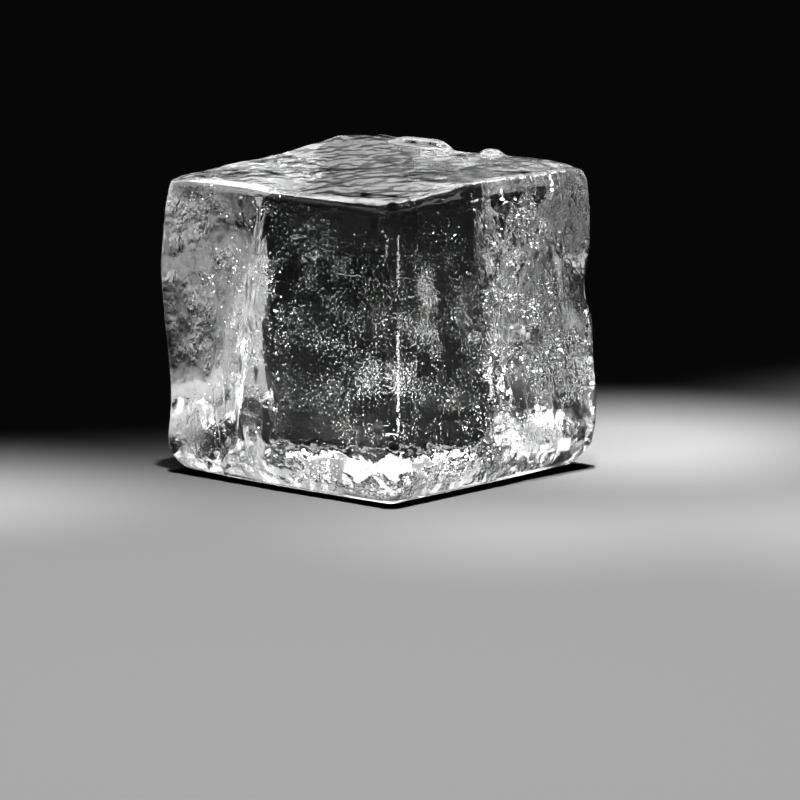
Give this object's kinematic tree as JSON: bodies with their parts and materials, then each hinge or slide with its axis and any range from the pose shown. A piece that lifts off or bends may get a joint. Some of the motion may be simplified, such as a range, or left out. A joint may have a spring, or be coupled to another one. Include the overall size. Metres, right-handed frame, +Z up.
{
  "type": "ice block",
  "caption": "Block of clear ice with melt-rounded edges, an undercut foot and a gently domed top, standing on its flat base.",
  "frame": {"origin": "on the surface that the block rests on, under the middle of its box", "axes": "+Z up, out of the top; the four sides face along +X, -X, +Y and -Y, and the corner between +X and -Y is the one nearest the camera in the picture"},
  "size_m": [0.0518, 0.0518, 0.0513],
  "materials": {
    "ice": "wet, clear ice with fine ripples, air bubbles and frosty patches"
  },
  "bodies": {
    "root": {"ice_block": "ice"}
  },
  "joints": []
}
